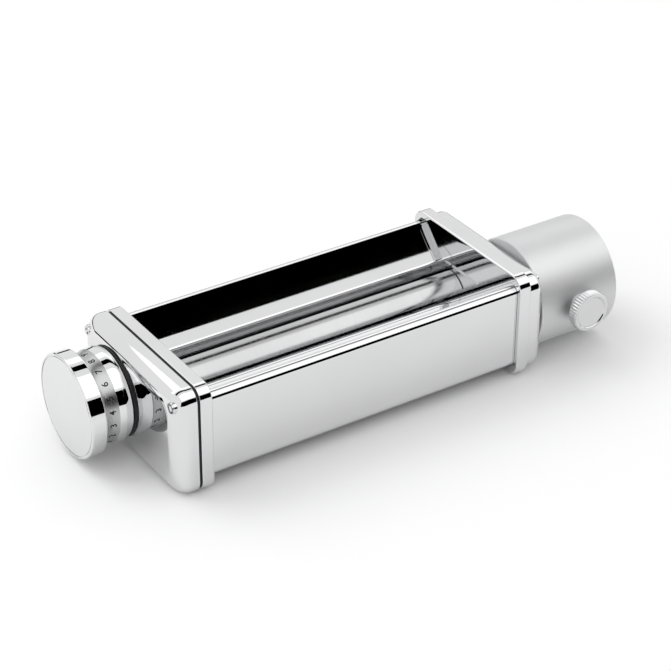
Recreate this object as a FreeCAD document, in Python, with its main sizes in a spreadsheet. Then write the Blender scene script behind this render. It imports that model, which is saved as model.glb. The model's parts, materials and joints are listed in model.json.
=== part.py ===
import FreeCAD, Part
import Sketcher
import math
import os

# Pasta sheet roller that hangs on the output hub of a stand mixer.
# Two sheet-metal panels form a hopper between two flanges. Two rollers run under the hopper. The dial on the
# -X end moves the front roller away from the rear one through a scroll cam. The barrel on the +X end slides
# over the mixer's hub, is clamped by a thumbscrew, and brings the drive in through a pair of gears.
#
# Frame: +Z up, X along the rollers, millimetres. Sizes in the sheet are counted from the middle of the
# machine between the flange lips; shift_x and shift_y then carry everything to the origin, which is the
# bottom centre of the bounding box.

DIMENSIONS = {
    # whole machine
    "shift_x": -8.5,
    "shift_y": 3.3,
    # flanges: rounded plates with a shallow tray on the inner side that takes the panels' ends
    "lip_x": 80.0,
    "tray_x": 82.0,
    "flange_x": 86.0,
    "flange_half": 41.5,
    "flange_top": 52.0,
    "flange_corner": 6.5,
    "flange_edge": 0.8,
    "tray_half": 39.65,
    "tray_foot": 5.25,
    "tray_crest": 49.3,
    "tray_bevel": 4.15,
    "tray_round": 3.0,
    # folded panels
    "sheet_gauge": 1.0,
    "panel_end": 81.9,
    "panel_half": 39.5,
    "panel_foot": 5.4,
    "foot_half": 33.5,
    "rim_corner": 48.76,
    "lip_half": 13.3,
    "lip_crest": 37.8,
    "lip_foot": 32.2,
    "slope_rise": 0.4183,
    "slope_gauge": 1.084,
    "rim_bend": 3.5,
    "lip_bend": 1.6,
    "foot_bend": 4.0,
    # end plates beside the rollers
    "plate_x": 81.2,
    "plate_half": 38.3,
    "plate_foot": 6.6,
    "plate_shoulder": 31.9,
    "tongue_half": 13.0,
    "tongue_crest": 33.2,
    "plate_gap": 0.5,
    # rollers
    "roller_radius": 13.0,
    "roller_end": 81.0,
    "roller_y": 13.2,
    "roller_z": 18.5,
    "shaft_radius": 5.0,
    "running_fit": 0.05,
    "shaft_left": -88.2,
    "bush_radius": 7.5,
    "ring_from": -87.1,
    "ring_to": -86.5,
    "ring_depth": 0.8,
    "rear_ring_radius": 8.0,
    "front_ring_radius": 6.8,
    "scraper_tip_y": 24.1,
    "scraper_tip_z": 10.7,
    "scraper_knee_y": 34.0,
    "scraper_seat_y": 35.3,
    # carriage of the front roller
    "travel": 2.4,
    "block_near": -1.5,
    "block_far": -34.0,
    "block_half": 6.0,
    "slide_fit": 0.1,
    "link_y": -31.2,
    "link_radius": 2.0,
    "arm_x": 88.4,
    "arm_far": -5.8,
    "arm_near": 0.6,
    "arm_foot": 14.0,
    # tie rods between the flanges
    "tie_low_y": 34.8,
    "tie_low_z": 9.6,
    "tie_low_radius": 2.0,
    "tie_high_y": 33.0,
    "tie_high_z": 36.5,
    "tie_high_radius": 2.5,
    "tie_screw_radius": 1.5,
    "tie_bore_depth": 8.0,
    "tie_head_radius": 2.7,
    "tie_head_height": 2.5,
    "screw_socket": 1.0,
    # gears
    "mesh_from": 86.4,
    "mesh_to": 89.7,
    "drive_from": 90.1,
    "drive_to": 93.0,
    "mesh_module": 2.2,
    "mesh_teeth": 12,
    "mesh_pressure": 25.0,
    "mesh_addendum": 0.77,
    "mesh_dedendum": 1.0,
    "drive_module": 1.5,
    "drive_teeth": 18,
    "input_teeth": 19,
    "drive_pressure": 20.0,
    "drive_addendum": 1.0,
    "drive_dedendum": 1.25,
    "backlash": 0.12,
    # left end
    "gasket_x": 86.6,
    "gasket_inset": 0.6,
    "left_cap_x": 98.0,
    "left_cap_inner": 95.5,
    "left_cap_edge": 3.5,
    "cap_pocket_half": 38.5,
    "cap_pocket_foot": 3.0,
    "cap_pocket_crest": 49.0,
    "cap_post_y": 33.5,
    "cap_post_z": 41.0,
    "cap_screw_y": 36.5,
    "cap_screw_z": 45.0,
    "cap_screw_bite": 2.5,
    "cap_head_radius": 2.4,
    "cap_head_sink": 0.4,
    "cap_head_depth": 2.1,
    # right end
    "right_cap_x": 95.0,
    "right_cap_inner": 93.2,
    "right_cap_half": 40.6,
    "right_cap_foot": 0.9,
    "right_cap_crest": 49.6,
    "right_cap_corner": 8.0,
    "right_cap_edge": 3.0,
    "right_pocket_half": 37.8,
    "right_pocket_foot": 2.8,
    "right_pocket_crest": 47.4,
    "right_post_y": 31.0,
    "right_post_z": 41.5,
    "right_screw_y": 34.6,
    "right_screw_z": 45.9,
    "right_head_radius": 1.9,
    "right_head_sink": 1.0,
    "right_head_depth": 2.6,
    # dial and scroll cam
    "dial_y": 13.7,
    "dial_z": 26.5,
    "dial_back": 99.8,
    "dial_face": 121.5,
    "ring_near": 106.0,
    "ring_far": 113.2,
    "hub_face": 108.0,
    "spring_room": 9.0,
    "number_seat": 18.0,
    "collar_radius": 21.9,
    "disc_depth": 2.0,
    "dial_radius": 24.0,
    "disc_radius": 21.5,
    "spindle_radius": 5.0,
    "spindle_flat": 4.0,
    "spindle_end": 117.0,
    "washer_radius": 7.0,
    "spring_length": 8.2,
    "spring_radius": 7.0,
    "spring_wire": 0.5,
    "spring_turns": 5.0,
    "cam_from": 93.2,
    "cam_to": 90.2,
    "cam_radius": 22.5,
    "scroll_start": 17.0,
    "scroll_sweep": 162.0,
    "scroll_half_width": 1.6,
    "scroll_depth": 1.8,
    "pin_radius": 1.5,
    "settings": 10,
    "detent_radius": 15.8,
    "detent_depth": 2.0,
    "track_half": 1.6,
    "dimple_depth": 0.4,
    "ball_radius": 1.2,
    # barrel and drive input
    "barrel_y": -13.28,
    "barrel_z": 26.8,
    "barrel_radius": 26.7,
    "barrel_end": 138.5,
    "barrel_base": 99.0,
    "chamber_radius": 18.5,
    "chamber_end": 110.0,
    "socket_radius": 22.5,
    "bearing_radius": 8.0,
    "barrel_chamfer": 0.8,
    "barrel_screw_ring": 14.2,
    "barrel_head_radius": 2.6,
    "coupling_seat": 103.0,
    "coupling_end": 109.5,
    "coupling_radius": 9.5,
    "square_socket": 9.0,
    # thumbscrew
    "thumb_x": 117.0,
    "thumb_face": -48.1,
    "thumb_back": -43.0,
    "thumb_radius": 9.8,
    "insert_radius": 6.0,
    "insert_face": -40.3,
    "insert_back": -36.2,
    "stem_radius": 3.0,
    "stem_end": -37.9,
    "nose_radius": 1.5,
    "nose_end": -36.9,
    "pad_end": -36.0,
}

doc = FreeCAD.newDocument("PastaRoller")
dims = doc.addObject("Spreadsheet::Sheet", "Dims")
for row, (alias, value) in enumerate(DIMENSIONS.items(), start=1):
    dims.set("A%d" % row, alias)
    dims.set("B%d" % row, str(value))
    dims.setAlias("B%d" % row, alias)
doc.recompute()

sub_parts = []


def size(alias):
    """Value of one cell of the sheet."""
    return float(dims.get(alias))


def bind(item, name, expression):
    """Ties one property to an expression on the sheet."""
    item.setExpression(name, str(expression))


def place(item, x=0, y=0, z=0):
    """Puts an item at a point of the machine, in the shifted frame."""
    bind(item, "Placement.Base.x", "Dims.shift_x + (%s)" % x)
    bind(item, "Placement.Base.y", "Dims.shift_y + (%s)" % y)
    bind(item, "Placement.Base.z", z)


def publish(item, label):
    """Registers a finished sub-part under the name of its file."""
    item.Label = label
    sub_parts.append(item)
    return item


# ---- sketches and PartDesign features ----

def new_body(name):
    return doc.addObject("PartDesign::Body", name)


def new_sketch(body, role, offset=0):
    """Sketch on one of the body's own origin planes, moved along the plane's normal."""
    made = body.newObject("Sketcher::SketchObject", body.Name + "_sketch")
    plane = [datum for datum in body.Origin.OriginFeatures if datum.Role == role][0]
    made.AttachmentSupport = [(plane, "")]
    made.MapMode = "FlatFace"
    bind(made, "AttachmentOffset.Base.z", offset)
    return made


def add_polygon(sketch, points):
    """Closed outline whose corners are held at expressions of the sheet."""
    first = sketch.GeometryCount
    count = len(points)
    turns = [2 * math.pi * index / count for index in range(count)]
    ring = [FreeCAD.Vector(10 * math.cos(turn), 10 * math.sin(turn), 0) for turn in turns]
    for index in range(count):
        sketch.addGeometry(Part.LineSegment(ring[index], ring[(index + 1) % count]), False)
    for index in range(count):
        after = first + (index + 1) % count
        sketch.addConstraint(Sketcher.Constraint("Coincident", first + index, 2, after, 1))
    for index, (across, up) in enumerate(points):
        start = ring[index]
        for kind, expression, value in (("DistanceX", across, start.x), ("DistanceY", up, start.y)):
            held = sketch.addConstraint(Sketcher.Constraint(kind, -1, 1, first + index, 1, value))
            bind(sketch, "Constraints[%d]" % held, expression)


def add_rectangle(sketch, left, right, low, high):
    add_polygon(sketch, [(left, low), (right, low), (right, high), (left, high)])


def add_circle(sketch, across, up, radius):
    """Circle whose centre and radius are held at expressions of the sheet."""
    ring = sketch.addGeometry(Part.Circle(FreeCAD.Vector(1, 1, 0), FreeCAD.Vector(0, 0, 1), 2), False)
    for kind, expression in (("DistanceX", across), ("DistanceY", up)):
        held = sketch.addConstraint(Sketcher.Constraint(kind, -1, 1, ring, 3, 1))
        bind(sketch, "Constraints[%d]" % held, expression)
    held = sketch.addConstraint(Sketcher.Constraint("Radius", ring, 2))
    bind(sketch, "Constraints[%d]" % held, radius)


def pad(body, sketch, length, backwards=False):
    made = body.newObject("PartDesign::Pad", body.Name + "_pad")
    made.Profile = sketch
    made.Reversed = backwards
    bind(made, "Length", length)
    doc.recompute()
    return made


def pocket(body, sketch, length, backwards=False):
    """Pocket that must take material away."""
    before = body.Shape.Volume
    made = body.newObject("PartDesign::Pocket", body.Name + "_pocket")
    made.Profile = sketch
    made.Reversed = backwards
    bind(made, "Length", length)
    doc.recompute()
    if not body.Shape.Volume < before - 0.1:
        raise RuntimeError("pocket cuts nothing in " + body.Name)
    return made


def round_edges(body, radius, wanted):
    """Fillet on the edges of the body's present shape that the test picks."""
    names = ["Edge%d" % number for number, edge in enumerate(body.Shape.Edges, start=1) if wanted(edge)]
    if not names:
        raise RuntimeError("no edges to round in " + body.Name)
    base = body.Tip
    made = body.newObject("PartDesign::Fillet", body.Name + "_fillet")
    made.Base = (base, names)
    bind(made, "Radius", radius)
    doc.recompute()
    return made


def along_x(y=None, z=None):
    """Test for a straight edge along X, anywhere or at the given place."""
    def wanted(edge):
        box = edge.BoundBox
        straight = box.XLength > 0.3 and box.YLength + box.ZLength < 0.01
        return straight and (y is None or abs(box.Center.y - y) + abs(box.Center.z - z) < 0.05)
    return wanted


def in_plane_x(x):
    """Test for an edge that lies in the plane of the given X."""
    def wanted(edge):
        return abs(edge.BoundBox.XMin - x) < 0.01 and edge.BoundBox.XLength < 0.01
    return wanted


def turned(name, profile, y, z, axis="X", x=0):
    """Body of revolution from (along, radius) points, about a line along X or Y."""
    body = new_body(name)
    if axis == "X":
        sketch = new_sketch(body, "XZ_Plane")
        add_polygon(sketch, profile)
    else:
        sketch = new_sketch(body, "XY_Plane")
        add_polygon(sketch, [(radius, along) for along, radius in profile])
    spun = body.newObject("PartDesign::Revolution", name + "_turn")
    spun.Profile = sketch
    spun.ReferenceAxis = (sketch, ["H_Axis" if axis == "X" else "V_Axis"])
    spun.Angle = 360
    place(body, x, y, z)
    doc.recompute()
    return body


def ring_profile(start, end, inner, outer):
    return [(start, inner), (end, inner), (end, outer), (start, outer)]


def screw(name, y, z, outer, under, radius, tip, shank):
    """Screw along X: head from outer to under, shank on to tip, and a hexagon socket in the head."""
    profile = [(outer, 0), (outer, radius), (under, radius), (under, shank), (tip, shank), (tip, 0)]
    body = turned(name, profile, y, z)
    left_end = body.Shape.BoundBox.XMax < size("shift_x")
    sketch = new_sketch(body, "YZ_Plane", outer)
    corners = [turn * math.pi / 3 for turn in range(6)]
    add_polygon(sketch, [("%s * %.4f" % (shank, math.cos(turn)), "%s * %.4f" % (shank, math.sin(turn)))
                         for turn in corners])
    pocket(body, sketch, "Dims.screw_socket", backwards=left_end)
    return body


def group(name, items):
    """Identical fasteners as one node of separate solids."""
    made = doc.addObject("Part::Compound", name)
    made.Links = items
    return publish(made, name)


def solid(name, shape, x=0, y=0, z=0):
    """Sub-part whose shape comes from a formula, such as a gear's teeth."""
    made = doc.addObject("Part::Feature", name)
    made.Shape = shape
    place(made, x, y, z)
    return publish(made, name)


# ---- housing ----

def build_panel(name, side):
    """One folded sheet: hopper lip, slope, rim, outer wall and a foot turned inwards."""
    across = "%d * " % side
    inner_wall = "(Dims.panel_half - Dims.sheet_gauge)"
    inner_lip = "(Dims.lip_half + Dims.sheet_gauge)"
    inner_rim = "Dims.rim_corner - Dims.slope_rise * Dims.sheet_gauge - Dims.slope_gauge"
    inner_crest = "Dims.lip_crest + Dims.slope_rise * Dims.sheet_gauge - Dims.slope_gauge"
    body = new_body(name)
    outline = new_sketch(body, "YZ_Plane", "-Dims.panel_end")
    add_polygon(outline, [
        (across + "Dims.lip_half", "Dims.lip_foot"),
        (across + "Dims.lip_half", "Dims.lip_crest"),
        (across + "Dims.panel_half", "Dims.rim_corner"),
        (across + "Dims.panel_half", "Dims.panel_foot"),
        (across + "Dims.foot_half", "Dims.panel_foot"),
        (across + "Dims.foot_half", "Dims.panel_foot + Dims.sheet_gauge"),
        (across + inner_wall, "Dims.panel_foot + Dims.sheet_gauge"),
        (across + inner_wall, inner_rim),
        (across + inner_lip, inner_crest),
        (across + inner_lip, "Dims.lip_foot"),
    ])
    pad(body, outline, "2 * Dims.panel_end")
    gauge, rise, drop = size("sheet_gauge"), size("slope_rise"), size("slope_gauge")
    half, lip, foot = size("panel_half"), size("lip_half"), size("panel_foot")
    bends = [
        ("Dims.rim_bend", half, size("rim_corner")),
        ("Dims.rim_bend - Dims.sheet_gauge", half - gauge, size("rim_corner") - rise * gauge - drop),
        ("Dims.lip_bend", lip, size("lip_crest")),
        ("Dims.lip_bend - Dims.sheet_gauge", lip + gauge, size("lip_crest") + rise * gauge - drop),
        ("Dims.foot_bend", half, foot),
        ("Dims.foot_bend - Dims.sheet_gauge", half - gauge, foot + gauge),
    ]
    for radius, y, z in bends:
        round_edges(body, radius, along_x(side * y, z))
    place(body)
    return publish(body, name)


def rounded_plate(body, start, thickness, half, low, high, corner):
    """Upright rounded rectangle, the outline that the flanges, caps and gasket share."""
    outline = new_sketch(body, "YZ_Plane", start)
    add_rectangle(outline, "-" + half, half, low, high)
    pad(body, outline, thickness)
    round_edges(body, corner, along_x())


def add_tie_holes(sketch, low_radius, high_radius):
    for side in (-1, 1):
        add_circle(sketch, "%d * Dims.tie_low_y" % side, "Dims.tie_low_z", low_radius)
        if high_radius:
            add_circle(sketch, "%d * Dims.tie_high_y" % side, "Dims.tie_high_z", high_radius)


def build_flange(name, side, screw_y, screw_z):
    body = new_body(name)
    start = "Dims.lip_x" if side > 0 else "-Dims.flange_x"
    rounded_plate(body, start, "Dims.flange_x - Dims.lip_x", "Dims.flange_half", "0", "Dims.flange_top",
                  "Dims.flange_corner")
    outer_x, inner_x = side * size("flange_x"), side * size("lip_x")
    round_edges(body, "Dims.flange_edge", in_plane_x(inner_x))
    round_edges(body, "Dims.flange_edge / 2", in_plane_x(outer_x))
    outwards = side > 0
    tray = new_sketch(body, "YZ_Plane", "%d * Dims.lip_x" % side)
    bevel_y, bevel_z = "(Dims.tray_half - Dims.tray_bevel)", "Dims.tray_crest - Dims.tray_bevel"
    add_polygon(tray, [
        ("-Dims.tray_half", "Dims.tray_foot"), ("Dims.tray_half", "Dims.tray_foot"),
        ("Dims.tray_half", bevel_z), (bevel_y, "Dims.tray_crest"),
        ("-" + bevel_y, "Dims.tray_crest"), ("-Dims.tray_half", bevel_z),
    ])
    pocket(body, tray, "Dims.tray_x - Dims.lip_x", outwards)
    bevel = size("tray_bevel")
    for y in (-size("tray_half"), size("tray_half")):
        round_edges(body, "Dims.foot_bend + 0.15", along_x(y, size("tray_foot")))
        round_edges(body, "Dims.tray_round", along_x(y, size("tray_crest") - bevel))
        inner = math.copysign(abs(y) - bevel, y)
        round_edges(body, "Dims.tray_round", along_x(inner, size("tray_crest")))
    holes = new_sketch(body, "YZ_Plane", "%d * Dims.tray_x" % side)
    add_circle(holes, "Dims.roller_y", "Dims.roller_z", "Dims.bush_radius")
    add_rectangle(holes, "Dims.block_far - Dims.travel - 2 * Dims.slide_fit",
                  "Dims.block_near + Dims.slide_fit",
                  "Dims.roller_z - Dims.block_half - Dims.slide_fit",
                  "Dims.roller_z + Dims.block_half + Dims.slide_fit")
    add_tie_holes(holes, "Dims.tie_screw_radius", "Dims.tie_screw_radius")
    pocket(body, holes, "Dims.flange_x - Dims.tray_x", outwards)
    screw_holes = new_sketch(body, "YZ_Plane", "%d * Dims.flange_x" % side)
    for edge in (-1, 1):
        add_circle(screw_holes, "%d * %s" % (edge, screw_y), screw_z, "Dims.tie_screw_radius")
    pocket(body, screw_holes, "Dims.cap_screw_bite", not outwards)
    place(body)
    return publish(body, name)


def build_end_plate(name, side):
    """Steel plate that closes the roller space at one end, with a tongue between the two hopper lips."""
    body = new_body(name)
    outline = new_sketch(body, "YZ_Plane", "Dims.plate_x" if side > 0 else "-Dims.tray_x")
    add_polygon(outline, [
        ("-Dims.plate_half", "Dims.plate_foot"), ("Dims.plate_half", "Dims.plate_foot"),
        ("Dims.plate_half", "Dims.plate_shoulder"), ("Dims.tongue_half", "Dims.plate_shoulder"),
        ("Dims.tongue_half", "Dims.tongue_crest"), ("-Dims.tongue_half", "Dims.tongue_crest"),
        ("-Dims.tongue_half", "Dims.plate_shoulder"), ("-Dims.plate_half", "Dims.plate_shoulder"),
    ])
    pad(body, outline, "Dims.tray_x - Dims.plate_x")
    for y in (-size("plate_half"), size("plate_half")):
        round_edges(body, "Dims.foot_bend - Dims.sheet_gauge + 0.3", along_x(y, size("plate_foot")))
    holes = new_sketch(body, "YZ_Plane", "%d * Dims.plate_x" % side)
    add_circle(holes, "Dims.roller_y", "Dims.roller_z", "Dims.shaft_radius + Dims.plate_gap")
    reach = "Dims.shaft_radius + Dims.plate_gap"
    add_rectangle(holes, "-Dims.roller_y - Dims.travel - (%s)" % reach, "-Dims.roller_y + %s" % reach,
                  "Dims.roller_z - (%s)" % reach, "Dims.roller_z + %s" % reach)
    reach = "Dims.link_radius + Dims.plate_gap"
    add_rectangle(holes, "Dims.link_y - Dims.travel - (%s)" % reach, "Dims.link_y + %s" % reach,
                  "Dims.roller_z - (%s)" % reach, "Dims.roller_z + %s" % reach)
    add_tie_holes(holes, "Dims.tie_low_radius + Dims.slide_fit", None)
    pocket(body, holes, "Dims.tray_x - Dims.plate_x", side > 0)
    place(body)
    return publish(body, name)


def notched_outline(sketch, half, low, high, post_y, post_z):
    """Inside outline of an end cap: a rectangle whose upper corners are left solid for screws."""
    add_polygon(sketch, [
        ("-" + half, low), (half, low), (half, post_z), (post_y, post_z), (post_y, high),
        ("-" + post_y, high), ("-" + post_y, post_z), ("-" + half, post_z),
    ])


def build_left_gasket():
    body = new_body("left_gasket")
    half = "(Dims.flange_half - Dims.gasket_inset)"
    rounded_plate(body, "-Dims.gasket_x", "Dims.gasket_x - Dims.flange_x", half, "Dims.gasket_inset",
                  "Dims.flange_top - Dims.gasket_inset", "Dims.flange_corner - Dims.gasket_inset")
    opening = new_sketch(body, "YZ_Plane", "-Dims.gasket_x")
    notched_outline(opening, "Dims.cap_pocket_half", "Dims.cap_pocket_foot", "Dims.cap_pocket_crest",
                    "Dims.cap_post_y", "Dims.cap_post_z")
    for side in (-1, 1):
        add_circle(opening, "%d * Dims.cap_screw_y" % side, "Dims.cap_screw_z", "Dims.tie_screw_radius")
    pocket(body, opening, "Dims.gasket_x - Dims.flange_x", True)
    place(body)
    return publish(body, "left_gasket")


def build_left_cap():
    body = new_body("left_cap")
    rounded_plate(body, "-Dims.left_cap_x", "Dims.left_cap_x - Dims.gasket_x", "Dims.flange_half", "0",
                  "Dims.flange_top", "Dims.flange_corner")
    round_edges(body, "Dims.left_cap_edge", in_plane_x(-size("left_cap_x")))
    round_edges(body, "Dims.flange_edge / 2", in_plane_x(-size("gasket_x")))
    inside = new_sketch(body, "YZ_Plane", "-Dims.gasket_x")
    notched_outline(inside, "Dims.cap_pocket_half", "Dims.cap_pocket_foot", "Dims.cap_pocket_crest",
                    "Dims.cap_post_y", "Dims.cap_post_z")
    pocket(body, inside, "Dims.left_cap_inner - Dims.gasket_x")
    bores = new_sketch(body, "YZ_Plane", "-Dims.left_cap_x")
    add_circle(bores, "Dims.dial_y", "Dims.dial_z", "Dims.bearing_radius")
    for side in (-1, 1):
        add_circle(bores, "%d * Dims.cap_screw_y" % side, "Dims.cap_screw_z", "Dims.tie_screw_radius")
    pocket(body, bores, "Dims.left_cap_x - Dims.gasket_x", True)
    recesses = new_sketch(body, "YZ_Plane", "-Dims.left_cap_x")
    for side in (-1, 1):
        add_circle(recesses, "%d * Dims.cap_screw_y" % side, "Dims.cap_screw_z",
                   "Dims.cap_head_radius + Dims.slide_fit")
    pocket(body, recesses, "Dims.cap_head_depth", True)
    detent = new_sketch(body, "YZ_Plane", "-Dims.left_cap_x")
    add_circle(detent, "Dims.dial_y", "Dims.dial_z - Dims.detent_radius",
               "Dims.ball_radius + Dims.running_fit")
    pocket(body, detent, "Dims.detent_depth", True)
    place(body)
    return publish(body, "left_cap")


def build_right_cap():
    body = new_body("right_cap")
    rounded_plate(body, "Dims.flange_x", "Dims.right_cap_x - Dims.flange_x", "Dims.right_cap_half",
                  "Dims.right_cap_foot", "Dims.right_cap_crest", "Dims.right_cap_corner")
    round_edges(body, "Dims.right_cap_edge", in_plane_x(size("right_cap_x")))
    inside = new_sketch(body, "YZ_Plane", "Dims.flange_x")
    notched_outline(inside, "Dims.right_pocket_half", "Dims.right_pocket_foot", "Dims.right_pocket_crest",
                    "Dims.right_post_y", "Dims.right_post_z")
    pocket(body, inside, "Dims.right_cap_inner - Dims.flange_x", True)
    bores = new_sketch(body, "YZ_Plane", "Dims.right_cap_x")
    add_circle(bores, "Dims.barrel_y", "Dims.barrel_z", "Dims.bearing_radius")
    for across, up in barrel_screw_places():
        add_circle(bores, "Dims.barrel_y + " + across, "Dims.barrel_z + " + up, "Dims.tie_screw_radius")
    for side in (-1, 1):
        add_circle(bores, "%d * Dims.right_screw_y" % side, "Dims.right_screw_z", "Dims.tie_screw_radius")
    pocket(body, bores, "Dims.right_cap_x - Dims.flange_x")
    recesses = new_sketch(body, "YZ_Plane", "Dims.right_cap_x")
    for side in (-1, 1):
        add_circle(recesses, "%d * Dims.right_screw_y" % side, "Dims.right_screw_z",
                   "Dims.right_head_radius + Dims.slide_fit")
    pocket(body, recesses, "Dims.right_head_depth")
    place(body)
    return publish(body, "right_cap")


def barrel_screw_places():
    """Offsets of the barrel's screws from its axis, as expressions."""
    turns = [math.radians(45 + 90 * index) for index in range(4)]
    ring = "Dims.barrel_screw_ring * (%.4f)"
    return [(ring % math.cos(turn), ring % math.sin(turn)) for turn in turns]


def build_barrel():
    """Round socket that slides over the mixer's hub; its base is screwed to the right cap."""
    body = turned("coupling_barrel", [
        ("Dims.right_cap_x", "Dims.bearing_radius"),
        ("Dims.right_cap_x", "Dims.barrel_radius - Dims.barrel_chamfer"),
        ("Dims.right_cap_x + Dims.barrel_chamfer", "Dims.barrel_radius"),
        ("Dims.barrel_end - Dims.barrel_chamfer", "Dims.barrel_radius"),
        ("Dims.barrel_end", "Dims.barrel_radius - Dims.barrel_chamfer"),
        ("Dims.barrel_end", "Dims.socket_radius"),
        ("Dims.chamber_end", "Dims.socket_radius"),
        ("Dims.chamber_end", "Dims.chamber_radius"),
        ("Dims.barrel_base", "Dims.chamber_radius"),
        ("Dims.barrel_base", "Dims.bearing_radius"),
    ], "Dims.barrel_y", "Dims.barrel_z")
    screws = new_sketch(body, "YZ_Plane", "Dims.barrel_base")
    for across, up in barrel_screw_places():
        add_circle(screws, across, up, "Dims.tie_screw_radius")
    pocket(body, screws, "Dims.barrel_base - Dims.right_cap_x")
    insert = new_sketch(body, "XZ_Plane", "Dims.barrel_radius + 1")
    add_circle(insert, "Dims.thumb_x", "0", "Dims.insert_radius")
    pocket(body, insert, "Dims.barrel_radius / 2")
    return publish(body, "coupling_barrel")


def build_tie_rods():
    rods = []
    for name, y, z, radius in (("low", "Dims.tie_low_y", "Dims.tie_low_z", "Dims.tie_low_radius"),
                               ("high", "Dims.tie_high_y", "Dims.tie_high_z", "Dims.tie_high_radius")):
        for side, word in ((-1, "front"), (1, "rear")):
            bore_end = "(Dims.tray_x - Dims.tie_bore_depth)"
            profile = [
                ("-Dims.tray_x", "Dims.tie_screw_radius"), ("-Dims.tray_x", radius), ("Dims.tray_x", radius),
                ("Dims.tray_x", "Dims.tie_screw_radius"), (bore_end, "Dims.tie_screw_radius"),
                (bore_end, "0"), ("-" + bore_end, "0"), ("-" + bore_end, "Dims.tie_screw_radius"),
            ]
            rods.append(turned("tie_rod_%s_%s" % (name, word), profile, "%d * %s" % (side, y), z))
    return group("tie_rods", rods)


def build_tie_screws(name, side):
    screws = []
    for level, y, z in (("low", "Dims.tie_low_y", "Dims.tie_low_z"),
                        ("high", "Dims.tie_high_y", "Dims.tie_high_z")):
        for edge, word in ((-1, "front"), (1, "rear")):
            screws.append(screw(
                "%s_%s_%s" % (name, level, word), "%d * %s" % (edge, y), z,
                "%d * (Dims.flange_x + Dims.tie_head_height)" % side, "%d * Dims.flange_x" % side,
                "Dims.tie_head_radius", "%d * (Dims.tray_x - Dims.tie_bore_depth + 1)" % side,
                "Dims.tie_screw_radius"))
    return group(name, screws)


def build_cap_screws(name, side, outer, head, radius, y, z):
    screws = []
    for edge, word in ((-1, "front"), (1, "rear")):
        screws.append(screw(
            "%s_%s" % (name, word), "%d * %s" % (edge, y), z, "%d * (%s)" % (side, outer),
            "%d * (%s)" % (side, head), radius,
            "%d * (Dims.flange_x - Dims.cap_screw_bite + 0.3)" % side, "Dims.tie_screw_radius"))
    return group(name, screws)


def build_scraper(name, outline):
    """Thin strip whose edge stands just clear of a roller's underside and takes the dough off it."""
    body = new_body(name)
    sketch = new_sketch(body, "YZ_Plane", "-Dims.roller_end")
    add_polygon(sketch, outline)
    pad(body, sketch, "2 * Dims.roller_end")
    place(body)
    return publish(body, name)


# ---- gears, cam and spring, whose outlines follow a formula ----

def gear_shape(module, teeth, pressure, addendum, dedendum, width, bore, turn):
    """Involute spur gear about X from X = 0, with one tooth at the angle turn from +Y."""
    pitch_radius = module * teeth / 2
    base_radius = pitch_radius * math.cos(pressure)
    root_radius = pitch_radius - dedendum * module
    tip_radius = pitch_radius + addendum * module
    half_tooth = (math.pi * module / 2 - size("backlash")) / 2 / pitch_radius
    involute_at_pitch = math.tan(pressure) - pressure
    start_radius = max(base_radius, root_radius)
    steps = 6

    def point(radius, angle):
        return FreeCAD.Vector(0, radius * math.cos(angle), radius * math.sin(angle))

    def flank_angle(radius):
        lean = math.acos(min(1.0, base_radius / radius))
        return half_tooth + involute_at_pitch - (math.tan(lean) - lean)

    radii = [start_radius + (tip_radius - start_radius) * step / steps for step in range(steps + 1)]
    edges = []
    for tooth in range(int(teeth)):
        middle = turn + 2 * math.pi * tooth / teeth
        after = middle + 2 * math.pi / teeth
        rising = [point(radius, middle - flank_angle(radius)) for radius in radii]
        falling = [point(radius, middle + flank_angle(radius)) for radius in reversed(radii)]
        for flank in (rising, falling):
            curve = Part.BSplineCurve()
            curve.interpolate(flank)
            edges.append(curve.toShape())
        edges.append(Part.Arc(rising[-1], point(tip_radius, middle), falling[0]).toShape())
        last_angle = middle + flank_angle(start_radius)
        next_angle = after - flank_angle(start_radius)
        root_start, root_end = point(root_radius, last_angle), point(root_radius, next_angle)
        if start_radius > root_radius:
            edges.append(Part.LineSegment(falling[-1], root_start).toShape())
            edges.append(Part.LineSegment(root_end, point(start_radius, next_angle)).toShape())
        root_middle = point(root_radius, (last_angle + next_angle) / 2)
        edges.append(Part.Arc(root_start, root_middle, root_end).toShape())
    outline = Part.Wire(Part.__sortEdges__(edges))
    blank = Part.Face(outline).extrude(FreeCAD.Vector(width, 0, 0))
    hole = Part.makeCylinder(bore, width, FreeCAD.Vector(), FreeCAD.Vector(1, 0, 0))
    return blank.cut(hole)


def mesh_gear(turn_degrees):
    return gear_shape(size("mesh_module"), size("mesh_teeth"), math.radians(size("mesh_pressure")),
                      size("mesh_addendum"), size("mesh_dedendum"), size("mesh_to") - size("mesh_from"),
                      size("shaft_radius"), math.radians(turn_degrees))


def drive_gear(teeth, turn_degrees):
    return gear_shape(size("drive_module"), teeth, math.radians(size("drive_pressure")),
                      size("drive_addendum"), size("drive_dedendum"), size("drive_to") - size("drive_from"),
                      size("shaft_radius"), math.radians(turn_degrees))


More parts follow.
